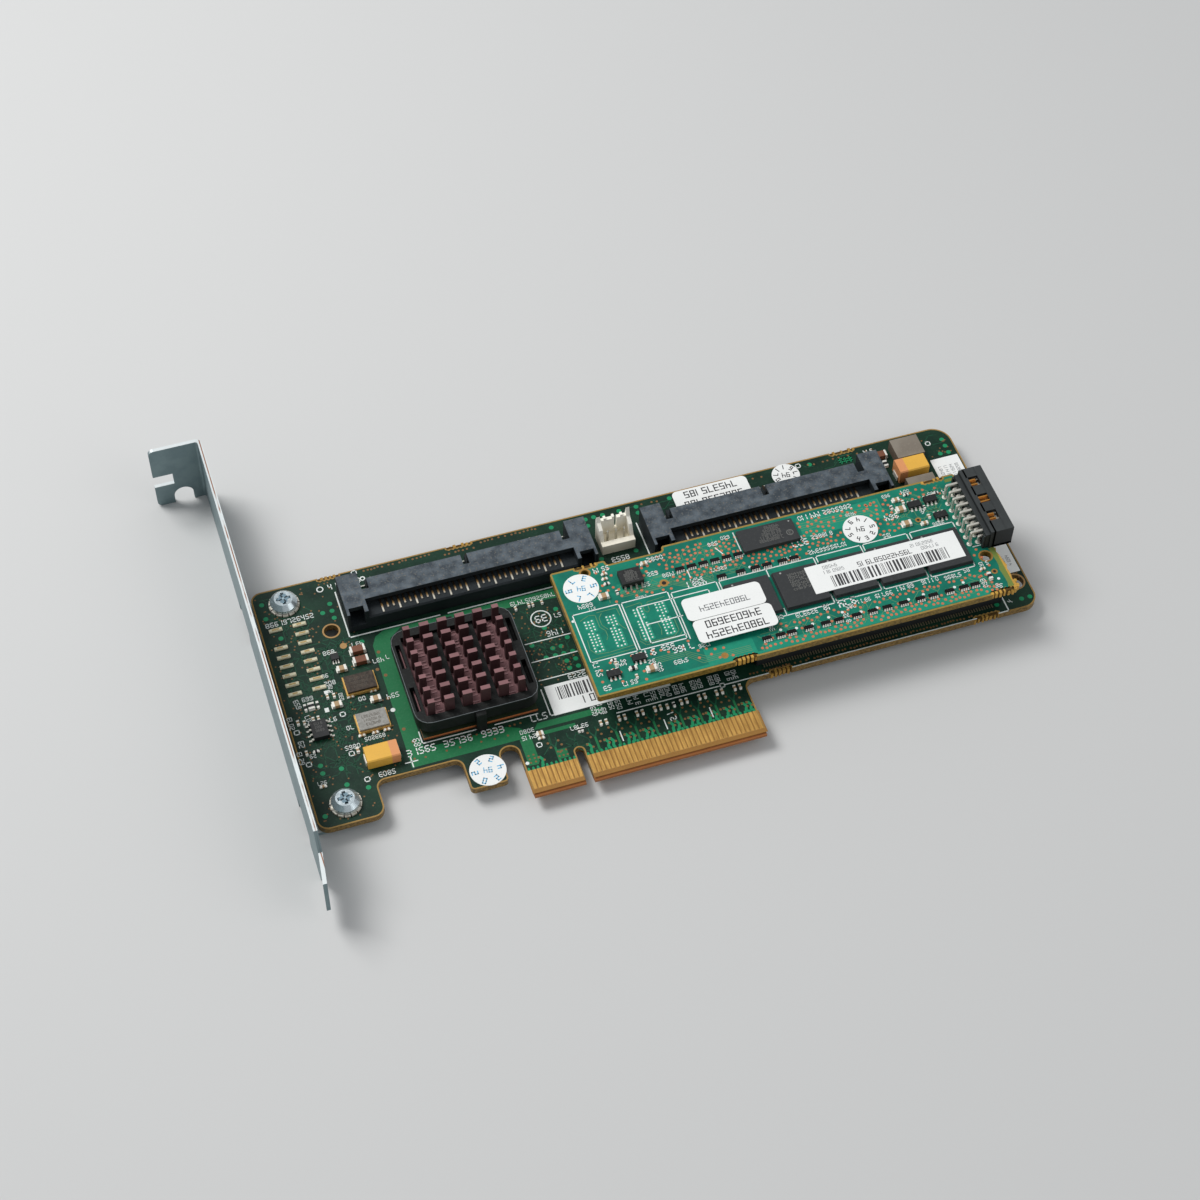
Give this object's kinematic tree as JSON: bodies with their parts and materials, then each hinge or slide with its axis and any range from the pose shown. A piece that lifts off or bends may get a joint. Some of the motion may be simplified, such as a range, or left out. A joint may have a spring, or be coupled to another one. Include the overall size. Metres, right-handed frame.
{
  "type": "raid controller card",
  "caption": "Low-profile storage controller card with an edge connector, a steel bracket, a clipped pin-fin heatsink, two cable receptacles and a stacked cache module.",
  "frame": {"origin": "middle of the key notch, at the mating edge of the edge connector, on the board's component face", "axes": "+X along the card from the bracket to the far end, +Y from the edge contacts to the top edge, +Z out of the component side"},
  "size_m": [0.1788, 0.1178, 0.0184],
  "materials": {
    "green_board": "glossy dark green solder mask over glass laminate",
    "teal_board": "glossy blue-green solder mask over glass laminate",
    "gold": "gold plated contacts, lightly rubbed",
    "zinc_steel": "zinc plated sheet steel, satin, with a bright sheared edge",
    "screw_steel": "bright zinc plated",
    "tin": "tinned, dull bright",
    "package_substrate": "orange-brown laminate, satin",
    "nickel_lid": "nickel plated, satin",
    "thermal_rubber": "grey, matte",
    "anodised_aluminium": "maroon-brown anodised, satin",
    "clip_plastic": "dark green-black moulded nylon",
    "connector_plastic": "dusty blue-black moulded nylon",
    "ivory_plastic": "ivory moulded nylon",
    "chip_black": "moulded epoxy, matte",
    "header_black": "black moulded nylon",
    "oscillator_rim": "gold plated rim over a ceramic base",
    "oscillator_lid": "stamped metal lid, satin",
    "tantalum_yellow": "yellow moulded epoxy",
    "inductor_grey": "pressed powder, dark grey",
    "ceramic_tan": "fired ceramic, tan",
    "ceramic_brown": "fired ceramic, brown",
    "paper": "white paper label, satin"
  },
  "bodies": {
    "root": {"main_board": "green_board", "edge_contacts_top": "gold", "edge_contacts_bottom": "gold", "bracket": "zinc_steel", "bracket_screws": "screw_steel", "toothed_washers": "screw_steel", "processor_balls": "tin", "processor_package": "package_substrate", "processor_lid": "nickel_lid", "thermal_pad": "thermal_rubber", "heatsink": "anodised_aluminium", "heatsink_clip": "clip_plastic", "cable_receptacle_1": "connector_plastic", "cable_receptacle_1_contacts": "gold", "cable_receptacle_2": "connector_plastic", "cable_receptacle_2_contacts": "gold", "power_header": "ivory_plastic", "power_header_pins": "tin", "mezzanine_socket": "connector_plastic", "mezzanine_plug": "connector_plastic", "mezzanine_socket_leads": "tin", "mezzanine_plug_leads": "tin", "module_board": "teal_board", "memory_chip_1": "chip_black", "memory_chip_2": "chip_black", "memory_chip_3": "chip_black", "memory_chip_4": "chip_black", "memory_chip_5": "chip_black", "battery_header": "header_black", "battery_header_pins": "tin", "driver_chip": "chip_black", "power_switch_chip": "chip_black", "power_switch_leads": "tin", "regulator_chip": "chip_black", "regulator_leads": "tin", "oscillator_bases": "oscillator_rim", "oscillator_lids": "oscillator_lid", "tantalum_capacitor_left": "tantalum_yellow", "tantalum_capacitor_right": "tantalum_yellow", "tantalum_terminals": "tin", "power_inductors": "inductor_grey", "resistor_arrays": "chip_black", "module_capacitors": "ceramic_tan", "module_small_chips": "chip_black", "coupling_capacitors": "ceramic_brown", "large_capacitors": "ceramic_brown", "medium_capacitors": "ceramic_tan", "board_small_chip": "chip_black", "solder_side_capacitors": "ceramic_tan", "test_header_pads": "tin", "board_labels": "paper", "module_labels": "paper"}
  },
  "joints": []
}
